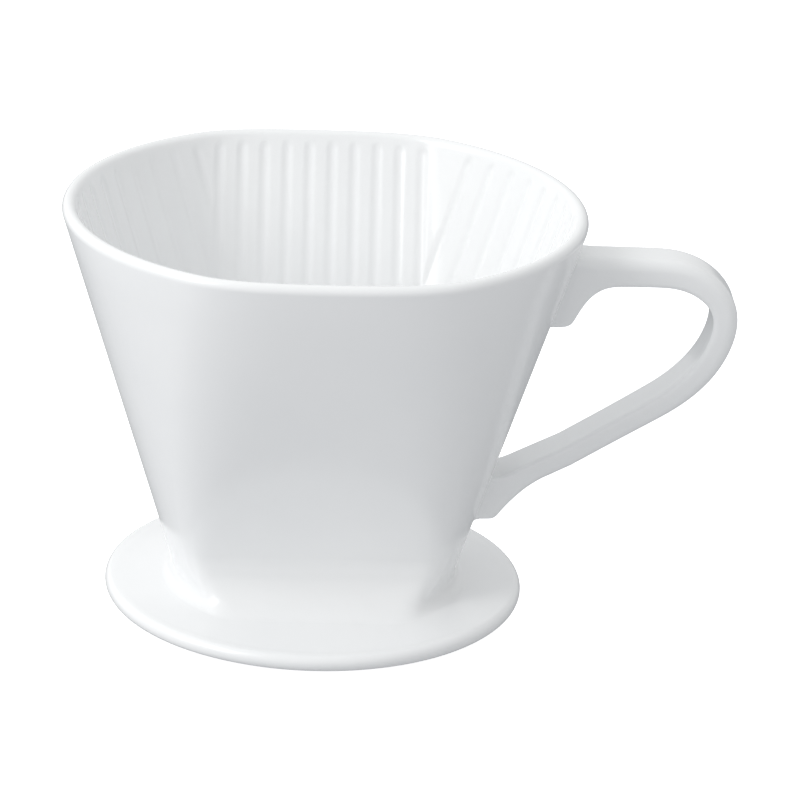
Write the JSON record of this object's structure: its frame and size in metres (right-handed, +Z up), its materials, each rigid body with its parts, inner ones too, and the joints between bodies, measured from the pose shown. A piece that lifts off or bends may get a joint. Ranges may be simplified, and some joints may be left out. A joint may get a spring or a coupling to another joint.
{
  "type": "pour over dripper",
  "caption": "Wedge-shaped porcelain pour over coffee dripper: grooved filter cone with flat front and back, round saucer flange with locating collar, and strap handle.",
  "frame": {"origin": "centre of the saucer's underside, the face that rests on the rim of the mug", "axes": "+Z up through the cone, +X from the cone towards the handle, +Y across the flats"},
  "size_m": [0.1678, 0.1228, 0.1076],
  "materials": {
    "glaze": "clear gloss glaze over white porcelain",
    "bisque": "unglazed, fine matt"
  },
  "bodies": {
    "root": {"cone_body": "glaze", "saucer_base": "glaze", "locating_collar": "bisque", "base_slip_joint": "glaze", "handle": "glaze", "upper_handle_slip": "glaze", "lower_handle_slip": "glaze"}
  },
  "joints": []
}
